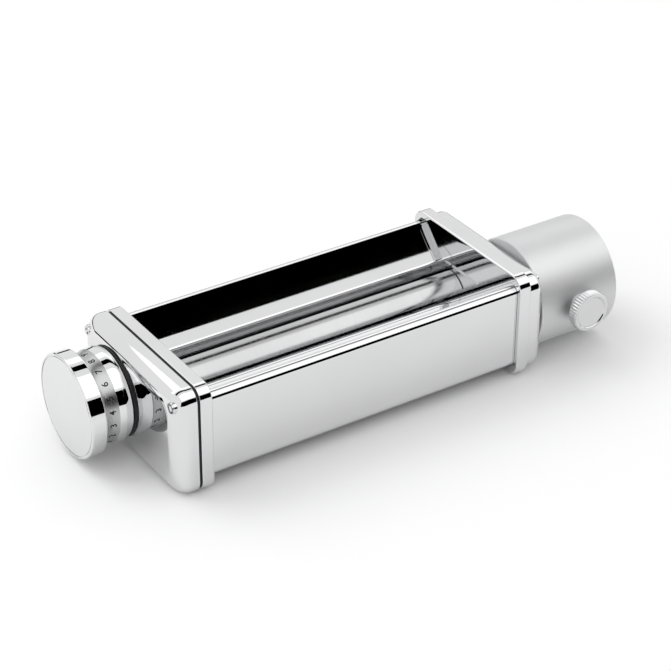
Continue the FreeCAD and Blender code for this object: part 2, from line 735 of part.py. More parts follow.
def scroll_cam_shape():
    """Disc about X whose +X face has one turn of a scroll groove; its radius grows evenly with the angle."""
    start_radius, half_width = size("scroll_start"), size("scroll_half_width")
    sweep = math.radians(size("scroll_sweep"))
    growth = size("travel") / sweep
    steps = 27

    def point(radius, turn):
        return FreeCAD.Vector(0, radius * math.cos(math.pi + turn), radius * math.sin(math.pi + turn))

    sides = []
    for offset in (-half_width, half_width):
        curve = Part.BSplineCurve()
        curve.interpolate([point(start_radius + growth * sweep * step / steps + offset, sweep * step / steps)
                           for step in range(steps + 1)])
        sides.append(curve.toShape())
    ends = []
    for turn, beyond in ((0.0, -1), (sweep, 1)):
        radius = start_radius + growth * turn
        bulge = turn + beyond * half_width / radius
        ends.append(Part.Arc(point(radius - half_width, turn), point(radius, bulge),
                             point(radius + half_width, turn)).toShape())
    outline = Part.Wire(Part.__sortEdges__(sides + ends))
    width = size("cam_from") - size("cam_to")
    depth = size("scroll_depth")
    disc = Part.makeCylinder(size("cam_radius"), width, FreeCAD.Vector(), FreeCAD.Vector(1, 0, 0))
    groove = Part.Face(outline).extrude(FreeCAD.Vector(depth, 0, 0))
    groove.translate(FreeCAD.Vector(width - depth, 0, 0))
    bore = Part.makeCylinder(size("spindle_radius") - 1, width, FreeCAD.Vector(), FreeCAD.Vector(1, 0, 0))
    return disc.cut(groove).cut(bore)


def spring_shape():
    """Coil spring about X, closed at X = 0."""
    length, radius, wire = size("spring_length"), size("spring_radius"), size("spring_wire")
    turns = size("spring_turns")
    helix = Part.makeHelix((length - 2 * wire) / turns, length - 2 * wire, radius)
    section = Part.Wire(Part.makeCircle(wire, FreeCAD.Vector(radius, 0, 0), FreeCAD.Vector(0, 1, 0)))
    coil = Part.Wire(helix).makePipeShell([section], True, True)
    coil.translate(FreeCAD.Vector(0, 0, wire))
    coil.rotate(FreeCAD.Vector(), FreeCAD.Vector(0, 1, 0), 90)
    return coil


# ---- build every sub-part ----

build_panel("front_panel", -1)
build_panel("rear_panel", 1)
build_flange("left_flange", -1, "Dims.cap_screw_y", "Dims.cap_screw_z")
build_flange("right_flange", 1, "Dims.right_screw_y", "Dims.right_screw_z")
build_end_plate("left_end_plate", -1)
build_end_plate("right_end_plate", 1)
build_left_gasket()
build_left_cap()
build_right_cap()
build_barrel()
build_tie_rods()
build_tie_screws("left_tie_screws", -1)
build_tie_screws("right_tie_screws", 1)
build_cap_screws("left_cap_screws", -1, "Dims.left_cap_x - Dims.cap_head_sink",
                 "Dims.left_cap_x - Dims.cap_head_depth", "Dims.cap_head_radius", "Dims.cap_screw_y",
                 "Dims.cap_screw_z")
build_cap_screws("right_cap_screws", 1, "Dims.right_cap_x - Dims.right_head_sink",
                 "Dims.right_cap_x - Dims.right_head_depth", "Dims.right_head_radius", "Dims.right_screw_y",
                 "Dims.right_screw_z")
group("barrel_screws", [
    screw("barrel_screw_%d" % number, "Dims.barrel_y + " + across, "Dims.barrel_z + " + up,
          "Dims.barrel_base + Dims.tie_head_height", "Dims.barrel_base", "Dims.barrel_head_radius",
          "Dims.right_cap_inner + 0.2", "Dims.tie_screw_radius")
    for number, (across, up) in enumerate(barrel_screw_places(), start=1)])

for name, start, end in (("rear_bush_left", "-Dims.flange_x - 0.3", "-Dims.tray_x"),
                         ("rear_bush_right", "Dims.tray_x", "Dims.flange_x + 0.2")):
    publish(turned(name, ring_profile(start, end, "Dims.shaft_radius + Dims.running_fit", "Dims.bush_radius"),
                   "Dims.roller_y", "Dims.roller_z"), name)

build_scraper("rear_scraper", [
    ("Dims.scraper_tip_y", "Dims.scraper_tip_z"), ("Dims.scraper_knee_y", "Dims.panel_foot + 1.05"),
    ("Dims.scraper_seat_y", "Dims.panel_foot + 1.05"), ("Dims.scraper_seat_y", "Dims.panel_foot + 1.75"),
    ("Dims.scraper_knee_y + 0.3", "Dims.panel_foot + 1.75"),
    ("Dims.scraper_tip_y + 0.6", "Dims.scraper_tip_z + 0.5"),
])
build_scraper("front_scraper", [
    ("-Dims.scraper_tip_y", "Dims.scraper_tip_z"),
    ("Dims.link_y + 1", "Dims.roller_z - Dims.link_radius - 0.7"),
    ("Dims.link_y - 2", "Dims.roller_z - Dims.link_radius - 0.7"),
    ("Dims.link_y - 2", "Dims.roller_z - Dims.link_radius"),
    ("Dims.link_y + 1.3", "Dims.roller_z - Dims.link_radius"),
    ("-Dims.scraper_tip_y - 0.5", "Dims.scraper_tip_z + 0.8"),
])

# rear roller, driven, on a fixed axis
ROLLER = [("-Dims.roller_end", "Dims.shaft_radius"), ("-Dims.roller_end", "Dims.roller_radius - 0.4"),
          ("-Dims.roller_end + 0.4", "Dims.roller_radius"), ("Dims.roller_end - 0.4", "Dims.roller_radius"),
          ("Dims.roller_end", "Dims.roller_radius - 0.4"), ("Dims.roller_end", "Dims.shaft_radius")]


def shaft_profile(right_end):
    """Roller shaft with a groove for its retaining ring near the left end."""
    groove = "Dims.shaft_radius - Dims.ring_depth"
    return [("Dims.shaft_left", "0"), ("Dims.shaft_left", "Dims.shaft_radius"),
            ("Dims.ring_from", "Dims.shaft_radius"), ("Dims.ring_from", groove), ("Dims.ring_to", groove),
            ("Dims.ring_to", "Dims.shaft_radius"), (right_end, "Dims.shaft_radius"), (right_end, "0")]


for word, y, right_end, ring_radius in (("rear", "Dims.roller_y", "Dims.drive_to", "Dims.rear_ring_radius"),
                                        ("front", "-Dims.roller_y", "Dims.mesh_to",
                                         "Dims.front_ring_radius")):
    publish(turned(word + "_roller", ROLLER, y, "Dims.roller_z"), word + "_roller")
    publish(turned(word + "_roller_shaft", shaft_profile(right_end), y, "Dims.roller_z"),
            word + "_roller_shaft")
    publish(turned(word + "_shaft_ring", ring_profile("Dims.ring_from", "Dims.ring_to",
                                                      "Dims.shaft_radius - Dims.ring_depth", ring_radius),
                   y, "Dims.roller_z"), word + "_shaft_ring")

# gears: a tooth of one points into a gap of the other
solid("rear_mesh_gear", mesh_gear(0), "Dims.mesh_from", "Dims.roller_y", "Dims.roller_z")
solid("front_mesh_gear", mesh_gear(180 / size("mesh_teeth")), "Dims.mesh_from", "-Dims.roller_y",
      "Dims.roller_z")
line_of_centres = math.degrees(math.atan2(size("barrel_z") - size("roller_z"),
                                          size("barrel_y") - size("roller_y")))
solid("rear_drive_gear", drive_gear(size("drive_teeth"), line_of_centres), "Dims.drive_from",
      "Dims.roller_y", "Dims.roller_z")
solid("input_gear", drive_gear(size("input_teeth"), line_of_centres + 180 + 180 / size("input_teeth")),
      "Dims.drive_from", "Dims.barrel_y", "Dims.barrel_z")

# carriage that carries the front roller
for name, start, thickness in (
        ("left_slide_block", "-Dims.flange_x - 0.2", "Dims.flange_x - Dims.tray_x + 0.1"),
        ("right_slide_block", "Dims.tray_x + 0.1", "Dims.flange_x - Dims.tray_x")):
    block = new_body(name)
    outline = new_sketch(block, "YZ_Plane", start)
    add_rectangle(outline, "Dims.block_far", "Dims.block_near", "Dims.roller_z - Dims.block_half",
                  "Dims.roller_z + Dims.block_half")
    add_circle(outline, "-Dims.roller_y", "Dims.roller_z", "Dims.shaft_radius + Dims.running_fit")
    add_circle(outline, "Dims.link_y", "Dims.roller_z", "Dims.link_radius")
    pad(block, outline, thickness)
    place(block)
    publish(block, name)

publish(turned("link_bar", [("-Dims.flange_x - 0.2", "0"), ("-Dims.flange_x - 0.2", "Dims.link_radius"),
                            ("Dims.flange_x + 0.1", "Dims.link_radius"), ("Dims.flange_x + 0.1", "0")],
               "Dims.link_y", "Dims.roller_z"), "link_bar")

arm = new_body("follower_arm")
arm_outline = new_sketch(arm, "YZ_Plane", "-Dims.arm_x")
add_rectangle(arm_outline, "Dims.arm_far", "Dims.arm_near", "Dims.arm_foot", "Dims.dial_z + 3")
add_circle(arm_outline, "Dims.dial_y - Dims.scroll_start", "Dims.dial_z", "Dims.pin_radius")
pad(arm, arm_outline, "Dims.arm_x - Dims.flange_x - 0.2")
place(arm)
publish(arm, "follower_arm")

publish(turned("follower_pin", [
    ("-Dims.cam_to - Dims.scroll_depth + 0.2", "0"),
    ("-Dims.cam_to - Dims.scroll_depth + 0.2", "Dims.pin_radius"),
    ("-Dims.flange_x - 0.2", "Dims.pin_radius"), ("-Dims.flange_x - 0.2", "0"),
], "Dims.dial_y - Dims.scroll_start", "Dims.dial_z"), "follower_pin")

# drive input on the barrel's axis
publish(turned("input_shaft", [("Dims.drive_from", "0"), ("Dims.drive_from", "Dims.shaft_radius"),
                               ("Dims.coupling_seat", "Dims.shaft_radius"), ("Dims.coupling_seat", "0")],
               "Dims.barrel_y", "Dims.barrel_z"), "input_shaft")
publish(turned("input_bearing", ring_profile("Dims.right_cap_inner + 0.1", "Dims.barrel_base - 0.1",
                                             "Dims.shaft_radius + Dims.running_fit", "Dims.bearing_radius"),
               "Dims.barrel_y", "Dims.barrel_z"), "input_bearing")
coupling = turned("drive_coupling", [
    ("Dims.barrel_base + 0.3", "Dims.shaft_radius"), ("Dims.barrel_base + 0.3", "Dims.coupling_radius"),
    ("Dims.coupling_end", "Dims.coupling_radius"), ("Dims.coupling_end", "0"), ("Dims.coupling_seat", "0"),
    ("Dims.coupling_seat", "Dims.shaft_radius"),
], "Dims.barrel_y", "Dims.barrel_z")
square = new_sketch(coupling, "YZ_Plane", "Dims.coupling_end")
add_rectangle(square, "-Dims.square_socket / 2", "Dims.square_socket / 2", "-Dims.square_socket / 2",
              "Dims.square_socket / 2")
pocket(coupling, square, "Dims.coupling_end - Dims.coupling_seat")
publish(coupling, "drive_coupling")

# dial: spindle, scroll cam and their fixings turn in the left cap; the knob slides on the spindle
spindle = turned("dial_spindle", [
    ("-Dims.cam_to", "0"), ("-Dims.cam_to", "Dims.spindle_radius - 1"),
    ("-Dims.cam_from", "Dims.spindle_radius - 1"), ("-Dims.cam_from", "Dims.spindle_radius"),
    ("-Dims.spindle_end", "Dims.spindle_radius"), ("-Dims.spindle_end", "Dims.tie_screw_radius"),
    ("-Dims.spindle_end + 6", "Dims.tie_screw_radius"), ("-Dims.spindle_end + 6", "0"),
], "Dims.dial_y", "Dims.dial_z")
flat = new_sketch(spindle, "YZ_Plane", "-Dims.spindle_end")
add_rectangle(flat, "-Dims.spindle_radius - 1", "Dims.spindle_radius + 1", "Dims.spindle_flat",
              "Dims.spindle_radius + 1")
pocket(spindle, flat, "Dims.spindle_end - Dims.dial_back", True)
publish(spindle, "dial_spindle")
solid("scroll_cam", scroll_cam_shape(), "-Dims.cam_from", "Dims.dial_y", "Dims.dial_z")
publish(turned("spindle_washer", ring_profile("-Dims.spindle_end - 0.8", "-Dims.spindle_end",
                                              "Dims.tie_screw_radius", "Dims.washer_radius"),
               "Dims.dial_y", "Dims.dial_z"), "spindle_washer")
publish(screw("spindle_screw", "Dims.dial_y", "Dims.dial_z", "-Dims.spindle_end - 2",
              "-Dims.spindle_end - 0.8", "Dims.tie_head_radius", "-Dims.spindle_end + 5.5",
              "Dims.tie_screw_radius"), "spindle_screw")

knob = turned("dial_body", [
    ("-Dims.dial_back", "Dims.spindle_radius + Dims.running_fit"),
    ("-Dims.dial_back", "Dims.detent_radius - Dims.track_half"),
    ("-Dims.dial_back - 1", "Dims.detent_radius - Dims.track_half"),
    ("-Dims.dial_back - 1", "Dims.detent_radius + Dims.track_half"),
    ("-Dims.dial_back", "Dims.detent_radius + Dims.track_half"),
    ("-Dims.dial_back", "Dims.collar_radius - 1.5"), ("-Dims.dial_back - 1.1", "Dims.collar_radius - 0.3"),
    ("-Dims.dial_back - 3", "Dims.collar_radius"), ("-Dims.ring_near", "Dims.collar_radius - 0.7"),
    ("-Dims.ring_near", "Dims.number_seat"), ("-Dims.ring_far", "Dims.number_seat"),
    ("-Dims.ring_far", "Dims.dial_radius - 1"), ("-Dims.ring_far - 1", "Dims.dial_radius"),
    ("-Dims.dial_face + 0.8", "Dims.dial_radius"), ("-Dims.dial_face", "Dims.dial_radius - 0.8"),
    ("-Dims.dial_face", "Dims.disc_radius + Dims.slide_fit"),
    ("-Dims.dial_face + Dims.disc_depth", "Dims.disc_radius + Dims.slide_fit"),
    ("-Dims.dial_face + Dims.disc_depth", "Dims.spring_room"), ("-Dims.hub_face", "Dims.spring_room"),
    ("-Dims.hub_face", "Dims.spindle_radius + Dims.running_fit"),
], "Dims.dial_y", "Dims.dial_z")
key = new_sketch(knob, "YZ_Plane", "-Dims.hub_face")
add_rectangle(key, "-Dims.spindle_radius + 1.5", "Dims.spindle_radius - 1.5",
              "Dims.spindle_flat + Dims.slide_fit", "Dims.spindle_radius + 1.5")
pad(knob, key, "Dims.hub_face - Dims.dial_back")
dimple = new_sketch(knob, "YZ_Plane", "-Dims.dial_back - 1")
add_circle(dimple, "0", "-Dims.detent_radius", "1")
dimple_pocket = pocket(knob, dimple, "Dims.dimple_depth")
ring_of_dimples = knob.newObject("PartDesign::PolarPattern", "dial_body_dimples")
ring_of_dimples.Originals = [dimple_pocket]
ring_of_dimples.Axis = (dimple, ["N_Axis"])
bind(ring_of_dimples, "Angle", "Dims.scroll_sweep")
bind(ring_of_dimples, "Occurrences", "Dims.settings")
knob.Tip = ring_of_dimples
publish(knob, "dial_body")

publish(turned("dial_number_ring", [
    ("-Dims.ring_near", "Dims.number_seat"), ("-Dims.ring_near", "Dims.collar_radius - 0.7"),
    ("-Dims.ring_near - 2", "Dims.collar_radius - 1.1"), ("-Dims.ring_near - 4", "Dims.collar_radius - 1.2"),
    ("-Dims.ring_near - 6", "Dims.collar_radius - 0.8"), ("-Dims.ring_far", "Dims.collar_radius"),
    ("-Dims.ring_far", "Dims.number_seat"),
], "Dims.dial_y", "Dims.dial_z"), "dial_number_ring")
publish(turned("dial_disc", [
    ("-Dims.dial_face + Dims.disc_depth", "0"), ("-Dims.dial_face + Dims.disc_depth", "Dims.disc_radius"),
    ("-Dims.dial_face + 0.3", "Dims.disc_radius"), ("-Dims.dial_face", "Dims.disc_radius - 0.3"),
    ("-Dims.dial_face", "0"),
], "Dims.dial_y", "Dims.dial_z"), "dial_disc")
solid("dial_spring", spring_shape(), "-Dims.hub_face - Dims.spring_length - 0.3", "Dims.dial_y",
      "Dims.dial_z")

publish(turned("dial_bush", ring_profile("-Dims.left_cap_x", "-Dims.cam_from - 0.4",
                                         "Dims.spindle_radius + Dims.running_fit", "Dims.bearing_radius"),
               "Dims.dial_y", "Dims.dial_z"), "dial_bush")
publish(turned("dial_seal_ring", ring_profile("-Dims.dial_back + 0.2", "-Dims.left_cap_x",
                                              "Dims.detent_radius + Dims.track_half + 1.2",
                                              "Dims.collar_radius - 0.5"),
               "Dims.dial_y", "Dims.dial_z"), "dial_seal_ring")

ball = doc.addObject("Part::Sphere", "detent_ball")
bind(ball, "Radius", "Dims.ball_radius")
place(ball, "-Dims.dial_back + 0.4", "Dims.dial_y", "Dims.dial_z - Dims.detent_radius")
publish(ball, "detent_ball")
publish(turned("detent_spring", [
    ("-Dims.dial_back + 0.4 + Dims.ball_radius", "0"),
    ("-Dims.dial_back + 0.4 + Dims.ball_radius", "Dims.ball_radius - 0.2"),
    ("-Dims.left_cap_x + Dims.detent_depth", "Dims.ball_radius - 0.2"),
    ("-Dims.left_cap_x + Dims.detent_depth", "0"),
], "Dims.dial_y", "Dims.dial_z - Dims.detent_radius"), "detent_spring")

# thumbscrew in the barrel's wall, along -Y
publish(turned("thumbscrew_insert", ring_profile("Dims.insert_face", "Dims.insert_back",
                                                 "Dims.stem_radius + Dims.running_fit", "Dims.insert_radius"),
               0, "Dims.barrel_z", "Y", "Dims.thumb_x"), "thumbscrew_insert")
publish(turned("thumbscrew", [
    ("Dims.thumb_face", "0"), ("Dims.thumb_face", "Dims.thumb_radius - 0.8"),
    ("Dims.thumb_face + 0.8", "Dims.thumb_radius"), ("Dims.thumb_back - 0.8", "Dims.thumb_radius"),
    ("Dims.thumb_back", "Dims.thumb_radius - 0.8"), ("Dims.thumb_back", "Dims.stem_radius"),
    ("Dims.stem_end", "Dims.stem_radius"), ("Dims.stem_end", "Dims.nose_radius"),
    ("Dims.nose_end", "Dims.nose_radius"), ("Dims.nose_end", "0"),
], 0, "Dims.barrel_z", "Y", "Dims.thumb_x"), "thumbscrew")
publish(turned("thumbscrew_pad", [
    ("Dims.stem_end + 0.1", "Dims.nose_radius + Dims.running_fit"),
    ("Dims.stem_end + 0.1", "Dims.stem_radius - 0.3"),
    ("Dims.pad_end", "Dims.stem_radius - 0.3"), ("Dims.pad_end", "0"), ("Dims.nose_end + 0.1", "0"),
    ("Dims.nose_end + 0.1", "Dims.nose_radius + Dims.running_fit"),
], 0, "Dims.barrel_z", "Y", "Dims.thumb_x"), "thumbscrew_pad")

# ---- check and write ----

doc.recompute()
for item in doc.Objects:
    if "Invalid" in item.State or "Error" in item.State:
        raise RuntimeError("failed to compute: " + item.Name)
os.makedirs("parts", exist_ok=True)
labels = [item.Label for item in sub_parts]
if len(set(labels)) != len(labels):
    raise RuntimeError("two sub-parts share a name")
for item in sub_parts:
    if item.Shape.isNull() or not item.Shape.isValid():
        raise RuntimeError("bad shape: " + item.Label)
for item in sub_parts:
    item.Shape.exportStep("parts/" + item.Label + ".step")
print(len(sub_parts), "sub-parts written")
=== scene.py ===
import json
import math

import bmesh
import bpy
from mathutils import Matrix, Vector

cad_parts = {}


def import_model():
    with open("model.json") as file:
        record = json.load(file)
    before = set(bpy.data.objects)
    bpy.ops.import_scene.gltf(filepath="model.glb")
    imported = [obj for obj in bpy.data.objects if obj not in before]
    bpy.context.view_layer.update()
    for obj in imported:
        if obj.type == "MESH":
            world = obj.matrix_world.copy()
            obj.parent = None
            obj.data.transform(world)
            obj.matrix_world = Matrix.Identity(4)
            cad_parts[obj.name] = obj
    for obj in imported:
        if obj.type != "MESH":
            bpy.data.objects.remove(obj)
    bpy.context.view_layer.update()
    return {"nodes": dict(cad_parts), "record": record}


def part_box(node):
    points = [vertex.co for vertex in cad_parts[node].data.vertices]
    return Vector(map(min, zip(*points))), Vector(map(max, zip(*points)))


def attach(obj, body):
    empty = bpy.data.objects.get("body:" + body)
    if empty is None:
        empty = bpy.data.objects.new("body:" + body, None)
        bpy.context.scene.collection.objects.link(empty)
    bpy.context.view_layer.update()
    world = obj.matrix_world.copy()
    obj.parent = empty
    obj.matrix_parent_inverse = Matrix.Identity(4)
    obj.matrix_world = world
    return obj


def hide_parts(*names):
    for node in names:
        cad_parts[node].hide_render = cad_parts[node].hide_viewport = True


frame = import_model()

# Looks of the pasta sheet roller. Lengths are metres; small details are given in millimetres times MM.
MM = 0.001
SEAL_GAP = 0.55 * MM  # how far the left cap stands off its seal, so that the seal shows as a dark line


# ---- meshes ----

def rounded(points):
    """Outline through (u, v, radius, steps) corners, each rounded by an arc of that many steps."""
    outline = []
    for index, (u, v, radius, steps) in enumerate(points):
        corner = Vector((u, v))
        if not radius:
            outline.append(corner)
            continue
        before = (Vector(points[index - 1][:2]) - corner).normalized()
        after = (Vector(points[(index + 1) % len(points)][:2]) - corner).normalized()
        half = before.angle(after) / 2
        centre = corner + (before + after).normalized() * radius / math.sin(half)
        start = corner + before * radius / math.tan(half) - centre
        end = corner + after * radius / math.tan(half) - centre
        first = math.atan2(start.y, start.x)
        sweep = math.atan2(end.y, end.x) - first
        sweep = (sweep + math.pi) % (2 * math.pi) - math.pi
        for step in range(steps + 1):
            turn = first + sweep * step / steps
            outline.append(centre + Vector((math.cos(turn), math.sin(turn))) * radius)
    return outline


def rectangle(low, high, radius, steps=(12, 12, 24, 24)):
    """Rounded upright rectangle in Y and Z, from its low corner round to the top."""
    return rounded([(low[0], low[1], radius, steps[0]), (high[0], low[1], radius, steps[1]),
                    (high[0], high[1], radius, steps[2]), (low[0], high[1], radius, steps[3])])


def finish_mesh(name, shape, material, body, node_names, sharp=32.0):
    """Turns a bmesh into a smooth-shaded piece that rides on a body and stands for CAD nodes."""
    bmesh.ops.remove_doubles(shape, verts=shape.verts, dist=1e-7)
    bmesh.ops.recalc_face_normals(shape, faces=shape.faces)
    mesh = bpy.data.meshes.new(name)
    shape.to_mesh(mesh)
    shape.free()
    mesh.shade_smooth()
    mesh.set_sharp_from_angle(angle=math.radians(sharp))
    piece = bpy.data.objects.new(name, mesh)
    bpy.context.scene.collection.objects.link(piece)
    mesh.materials.append(material)
    weighted = piece.modifiers.new("flat faces stay flat", "WEIGHTED_NORMAL")
    weighted.keep_sharp = True
    weighted.weight = 80
    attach(piece, body)
    if node_names:
        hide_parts(*node_names)
    return piece


def loft(shape, loops):
    """Skin through loops of the same number of points, with flat caps."""
    rings = [[shape.verts.new(point) for point in loop] for loop in loops]
    for ring, following in zip(rings, rings[1:]):
        for index in range(len(ring)):
            after = (index + 1) % len(ring)
            shape.faces.new((ring[index], ring[after], following[after], following[index]))
    shape.faces.new(rings[0])
    shape.faces.new(list(reversed(rings[-1])))


def lathe(shape, profile, centre, axis="X", steps=144, ripple=None):
    """Turned solid: profile is (along, radius) points; centre gives the two other coordinates."""
    rings = []
    for along, radius in profile:
        ring = []
        if radius < 1e-9:
            rings.append([shape.verts.new(on_axis(along, 0, 0, centre, axis))])
            continue
        for step in range(steps):
            turn = 2 * math.pi * step / steps
            reach = radius if ripple is None else ripple(radius, turn)
            ring.append(shape.verts.new(
                on_axis(along, reach * math.cos(turn), reach * math.sin(turn), centre, axis)))
        rings.append(ring)
    for ring, following in zip(rings, rings[1:] + rings[:1]):
        if len(ring) == 1 and len(following) == 1:
            continue
        for step in range(steps):
            after = (step + 1) % steps
            corners = [ring[step % len(ring)], ring[after % len(ring)],
                       following[after % len(following)], following[step % len(following)]]
            unique = list(dict.fromkeys(corners))
            shape.faces.new(unique)


def on_axis(along, across, up, centre, axis):
    if axis == "X":
        return Vector((along, centre[0] + across, centre[1] + up))
    return Vector((centre[0] + across, along, centre[1] + up))


# ---- materials ----

def new_material(name):
    made = bpy.data.materials.new(name)
    made.use_nodes = True
    tree = made.node_tree
    shader = tree.nodes["Principled BSDF"]
    return made, tree, shader


def noise(tree, scale, detail=3.0, stretch=(1, 1, 1)):
    """Noise over the piece's own coordinates; stretch squeezes it along an axis."""
    coordinates = tree.nodes.new("ShaderNodeTexCoord")
    mapping = tree.nodes.new("ShaderNodeMapping")
    mapping.inputs["Scale"].default_value = stretch
    texture = tree.nodes.new("ShaderNodeTexNoise")
    texture.inputs["Scale"].default_value = scale
    texture.inputs["Detail"].default_value = detail
    tree.links.new(coordinates.outputs["Object"], mapping.inputs["Vector"])
    tree.links.new(mapping.outputs["Vector"], texture.inputs["Vector"])
    return texture.outputs["Fac"]


def spread(tree, value, low, high, target):
    """Maps noise around its middle to a range and plugs it into a socket."""
    ranged = tree.nodes.new("ShaderNodeMapRange")
    ranged.inputs["From Min"].default_value = 0.3
    ranged.inputs["From Max"].default_value = 0.7
    ranged.inputs["To Min"].default_value = low
    ranged.inputs["To Max"].default_value = high
    tree.links.new(value, ranged.inputs["Value"])
    tree.links.new(ranged.outputs["Result"], target)


def tint(tree, value, dark, light, target):
    ramp = tree.nodes.new("ShaderNodeValToRGB")
    ramp.color_ramp.elements[0].position = 0.3
    ramp.color_ramp.elements[0].color = (*dark, 1)
    ramp.color_ramp.elements[1].position = 0.7
    ramp.color_ramp.elements[1].color = (*light, 1)
    tree.links.new(value, ramp.inputs["Fac"])
    tree.links.new(ramp.outputs["Color"], target)


def bump(tree, value, height, shader, strength=1.0):
    node = tree.nodes.new("ShaderNodeBump")
    node.inputs["Distance"].default_value = height
    node.inputs["Strength"].default_value = strength
    tree.links.new(value, node.inputs["Height"])
    tree.links.new(node.outputs["Normal"], shader.inputs["Normal"])


def grey(level):
    return (level, level * 1.003, level * 1.01)


def metal(name, dark, light, rough, grain_scale, stretch=(1, 1, 1), relief=0.0):
    """Metal whose roughness and relief vary with a fine grain and its colour with a slow cloud."""
    made, tree, shader = new_material(name)
    shader.inputs["Metallic"].default_value = 1.0
    grain = noise(tree, grain_scale, 4.0, stretch)
    cloud = noise(tree, 18.0, 2.0)
    tint(tree, cloud, grey(dark), grey(light), shader.inputs["Base Color"])
    spread(tree, grain, rough[0], rough[1], shader.inputs["Roughness"])
    if relief:
        bump(tree, grain, relief, shader)
    return made


def plastic(name, dark, light, rough, relief):
    made, tree, shader = new_material(name)
    grain = noise(tree, 900.0, 3.0)
    tint(tree, noise(tree, 60.0, 2.0), dark, light, shader.inputs["Base Color"])
    spread(tree, grain, rough[0], rough[1], shader.inputs["Roughness"])
    bump(tree, grain, relief, shader)
    shader.inputs["Specular IOR Level"].default_value = 0.25
    return made


ALONG_X = (0.02, 1, 1)
ROUND_X = (1, 0.04, 0.04)
CHROME_SHEET = metal("polished sheet", 0.71, 0.74, (0.006, 0.018), 300.0, ALONG_X)
CHROME_CAST = metal("polished casting", 0.71, 0.74, (0.01, 0.03), 260.0)
STAINLESS = metal("ground stainless", 0.62, 0.70, (0.12, 0.22), 700.0, ALONG_X, 0.000004)
ROLLER = metal("satin roller", 0.46, 0.52, (0.13, 0.20), 1400.0, ROUND_X, 0.000003)
BARREL = metal("bead blasted barrel", 0.68, 0.73, (0.50, 0.60), 2600.0, (1, 1, 1), 0.00001)
RING = metal("polished number ring", 0.44, 0.46, (0.26, 0.28), 1800.0, ROUND_X)
DISC = metal("dial face", 0.72, 0.75, (0.10, 0.16), 1200.0, (1, 1, 1), 0.000002)
STEEL = metal("machined steel", 0.42, 0.52, (0.22, 0.34), 900.0, ROUND_X, 0.000008)
GEAR = metal("hobbed steel", 0.30, 0.42, (0.28, 0.40), 700.0, (1, 1, 1), 0.00001)
NICKEL = metal("bright nickel", 0.62, 0.68, (0.06, 0.12), 500.0)
BLACK = plastic("black moulding", (0.010, 0.010, 0.011), (0.022, 0.022, 0.024), (0.40, 0.55), 0.00001)
NYLON = plastic("white nylon", (0.74, 0.74, 0.72), (0.84, 0.84, 0.82), (0.35, 0.5), 0.00001)
INK = plastic("black filling", (0.008, 0.008, 0.009), (0.016, 0.016, 0.017), (0.45, 0.6), 0.000004)


def bronze():
    made, tree, shader = new_material("sintered bronze")
    shader.inputs["Metallic"].default_value = 1.0
    grain = noise(tree, 1500.0, 4.0)
    tint(tree, grain, (0.42, 0.25, 0.11), (0.66, 0.44, 0.22), shader.inputs["Base Color"])
    spread(tree, grain, 0.35, 0.5, shader.inputs["Roughness"])
    bump(tree, grain, 0.00002, shader)
    return made


BY_SLOT = {
    "chrome_sheet": CHROME_SHEET, "chrome_cast": CHROME_CAST, "roller_aluminium": ROLLER,
    "barrel_aluminium": BARREL, "stainless": STAINLESS, "steel": STEEL, "bright_steel": NICKEL,
    "number_ring": RING, "dial_face": DISC, "bronze": bronze(), "black_plastic": BLACK,
    "gear_steel": GEAR, "white_nylon": NYLON,
}

for row in frame["record"]["subparts"]:
    node = frame["nodes"][row["node"]]
    node.data.materials.clear()
    node.data.materials.append(BY_SLOT[row["material_slot"]])


# ---- folded panels ----

def panel(name, side):
    """Folded sheet: lip, slope, rim, outer wall and foot, with true bends."""
    low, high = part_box(name)
    gauge = 1.0 * MM
    wall = high.y if side > 0 else low.y
    lip = low.y if side > 0 else high.y
    foot = wall - side * 6.0 * MM
    lip_foot, crest, rim = 32.2 * MM, 37.8 * MM, 48.76 * MM
    rise = (rim - crest) / abs(wall - lip)
    drop = gauge * math.sqrt(1 + rise * rise)
    section = rounded([
        (lip, lip_foot, 0, 0), (lip, crest, 1.6 * MM, 10), (wall, rim, 3.5 * MM, 20),
        (wall, low.z, 4.0 * MM, 14), (foot, low.z, 0, 0), (foot, low.z + gauge, 0, 0),
        (wall - side * gauge, low.z + gauge, 3.0 * MM, 14),
        (wall - side * gauge, rim - rise * gauge - drop, 2.5 * MM, 20),
        (lip + side * gauge, crest + rise * gauge - drop, 0.6 * MM, 10),
        (lip + side * gauge, lip_foot, 0, 0),
    ])
    shape = bmesh.new()
    loft(shape, [[Vector((x, y, z)) for y, z in section] for x in (low.x, high.x)])
    finish_mesh(name + "_sheet", shape, CHROME_SHEET, "housing", [name], 40.0)


# ---- flanges and caps ----

def edge_profile(start, end, radius, steps=8):
    """(x, inset) pairs of a side wall whose far edge, at end, is rounded."""
    way = 1 if end > start else -1
    pairs = [(start, 0.0)]
    for step in range(steps + 1):
        turn = math.pi / 2 * step / steps
        pairs.append((end - way * radius * (1 - math.sin(turn)), radius * (1 - math.cos(turn))))
    return pairs


def inset_rectangle(box, x, inset, radius):
    low, high = box
    outline = rectangle((low.y + inset, low.z + inset), (high.y - inset, high.z - inset), radius - inset)
    return [Vector((x, y, z)) for y, z in outline]


